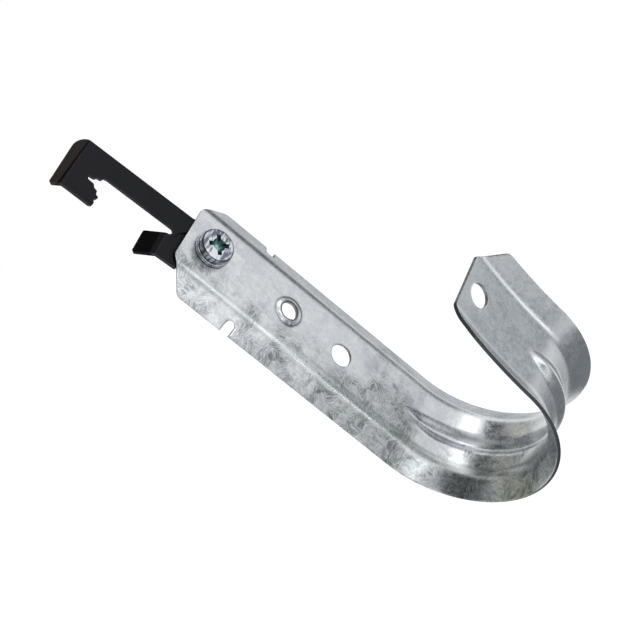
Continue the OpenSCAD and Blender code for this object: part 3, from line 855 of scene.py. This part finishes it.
studio = {
    "camera": (-252.4, -318.1, 122.8), "lens": 82.0,
    "right": (0.364, -0.558, -0.746), "up": (0.706, -0.357, 0.611),
    "floorDrop": 420.0, "floorHalf": 6.0, "floorLift": 0.75, "fillLevel": 0.5,  # floorHalf is in metres
    "lamps": [  # name, place in mm, width and height in mm, watts
        ("stripLamp", (40, -700, 0), (150, 900), 0.68),
        ("softLamp", (420, -400, 380), (240, 240), 0.3),
        ("frontLamp", (-400, -600, 20), (180, 180), 0.16),
        ("lowLamp", (-175, -690, -330), (150, 260), 0.42),
        ("backLamp", (300, 600, 500), (400, 400), 0.5),
    ],
    "cardFade": 0.36,
    "cards": [  # grey, seen only in reflections: name, place and size in mm, turn if stood up, colour
        ("groundCard", (20, -65, -170), (210, 230), None, "#8a8d90"),
        ("farGroundCard", (158, -248, -170), (190, 170), None, "#acb0b4"),
        ("foldCard", (-115, -305, -171), (240, 180), None, "#a4a7aa"),
        ("overheadCard", (60, -75, 300), (800, 200), None, "#3a3d3c"),
        ("flangeCard", (-350, -260, 299), (560, 640), None, "#5a5e5d"),
        ("tabCard", (150, 5, 298), (130, 120), None, "#141516"),
        ("warmCard", (45, 340, 301), (800, 700), None, "#b3b3a6"),
        ("sideCard", (420, -180, -90), (300, 400), 70, "#84888a"),
        ("farSideCard", (420, 210, -150), (420, 500), 70, "#cfd1d2"),
        ("nearCard", (-330, -480, -330), (480, 340), -35, "#cbcdce"),
    ],
}


def makeCamera():
    lens = bpy.data.cameras.new("camera")
    lens.lens, lens.sensor_width = studio["lens"], 36
    lens.clip_start, lens.clip_end = 0.01, 20
    camera = addObject("camera", lens)
    right, up = Vector(studio["right"]).normalized(), Vector(studio["up"]).normalized()
    back = right.cross(up).normalized()
    facing = Matrix((right, back.cross(right), back)).transposed()
    camera.matrix_world = Matrix.Translation(Vector(studio["camera"]) * mm) @ facing.to_4x4()
    scene.camera = camera


def makeLamp(name, place, size, power):
    # a soft rectangular lamp that faces the middle of the part
    lamp = bpy.data.lights.new(name, "AREA")
    lamp.shape, lamp.energy = "RECTANGLE", power
    lamp.size, lamp.size_y = size[0] * mm, size[1] * mm
    holder = addObject(name, lamp)
    holder.location = Vector(place) * mm
    middle = (cadBox[0] + cadBox[1]) / 2
    holder.rotation_euler = (middle - holder.location).to_track_quat("-Z", "Y").to_euler()


def makeCard(name, place, size, turn, colour):
    sheet = bmesh.new()
    sheet.loops.layers.uv.new("span")
    bmesh.ops.create_grid(sheet, x_segments=1, y_segments=1, size=0.5 * mm, calc_uvs=True)
    bmesh.ops.scale(sheet, vec=(*size, 1), verts=sheet.verts[:])
    if turn is not None:
        for angle, axis in ((90, "X"), (turn, "Z")):
            bmesh.ops.rotate(sheet, verts=sheet.verts[:], cent=(0, 0, 0),
                             matrix=Matrix.Rotation(math.radians(angle), 3, axis))
    bmesh.ops.translate(sheet, vec=Vector(place) * mm, verts=sheet.verts[:])
    card = addMesh(sheet, name)
    # its grey fades to the white of the surroundings at its rim
    paper = bpy.data.materials.new(name)
    tree = emptyTree(paper)
    span = addNode(tree, "ShaderNodeUVMap", {"uv_map": "span"})
    middleOut = addNode(tree, "ShaderNodeVectorMath", {"operation": "SUBTRACT"},
                        {0: span, 1: (0.5, 0.5, 0)})
    middleOut = addNode(tree, "ShaderNodeVectorMath", {"operation": "ABSOLUTE"}, {0: middleOut})
    sides = addNode(tree, "ShaderNodeSeparateXYZ", inputs={"Vector": middleOut})
    rim = addNode(tree, "ShaderNodeMath", {"operation": "MAXIMUM"},
                  {0: sides.outputs["X"], 1: sides.outputs["Y"]})
    fade = addNode(tree, "ShaderNodeMapRange", {"interpolation_type": "SMOOTHSTEP"},
                   {"Value": rim, "From Min": studio["cardFade"], "From Max": 0.5})
    grey = addNode(tree, "ShaderNodeMix", {"data_type": "RGBA"},
                   {"Factor": fade, "A": linear(colour), "B": (1, 1, 1, 1)})
    plain = addNode(tree, "ShaderNodeEmission", inputs={"Color": grey})
    addNode(tree, "ShaderNodeOutputMaterial", inputs={"Surface": plain})
    card.data.materials.append(paper)
    card.visible_camera = card.visible_diffuse = card.visible_shadow = False


def seenWhite(tree):
    # 1 for what the camera sees directly, in metal or through glass
    path = addNode(tree, "ShaderNodeLightPath")
    total = addNode(tree, "ShaderNodeMath", {"operation": "MAXIMUM"},
                    {0: path.outputs["Is Camera Ray"], 1: path.outputs["Is Glossy Ray"]})
    return addNode(tree, "ShaderNodeMath", {"operation": "MAXIMUM"},
                   {0: total, 1: path.outputs["Is Transmission Ray"]})


def makeSurroundings():
    # white to the eye and in reflections, and a soft even light on everything else
    world = bpy.data.worlds.new("softStudio")
    scene.world = world
    tree = emptyTree(world)
    level = addNode(tree, "ShaderNodeMapRange",
                    inputs={"Value": seenWhite(tree), "To Min": studio["fillLevel"]})
    sky = addNode(tree, "ShaderNodeBackground", inputs={"Color": (1, 1, 1, 1), "Strength": level})
    addNode(tree, "ShaderNodeOutputWorld", inputs={"Surface": sky})


def makeFloor():
    sheet = bmesh.new()
    bmesh.ops.create_grid(sheet, x_segments=1, y_segments=1, size=studio["floorHalf"])
    floor = addMesh(sheet, "floor")
    floor.location = (0, 0, cadBox[0].z - studio["floorDrop"] * mm)
    paper = bpy.data.materials.new("paleFloor")
    tree = emptyTree(paper)
    matte = addNode(tree, "ShaderNodeBsdfDiffuse", inputs={"Color": (0.6, 0.6, 0.6, 1)})
    lift = addNode(tree, "ShaderNodeMath", {"operation": "MULTIPLY"},
                   {0: seenWhite(tree), 1: studio["floorLift"]})
    glow = addNode(tree, "ShaderNodeEmission", inputs={"Strength": lift})
    both = addNode(tree, "ShaderNodeAddShader", inputs={0: matte, 1: glow})
    addNode(tree, "ShaderNodeOutputMaterial", inputs={"Surface": both})
    floor.data.materials.append(paper)


makeCamera()
for lamp in studio["lamps"]:
    makeLamp(*lamp)
for card in studio["cards"]:
    makeCard(*card)
makeSurroundings()
makeFloor()
print("studio:", len(studio["lamps"]), "lamps,", len(studio["cards"]), "cards")

scene.view_settings.view_transform = "Standard"
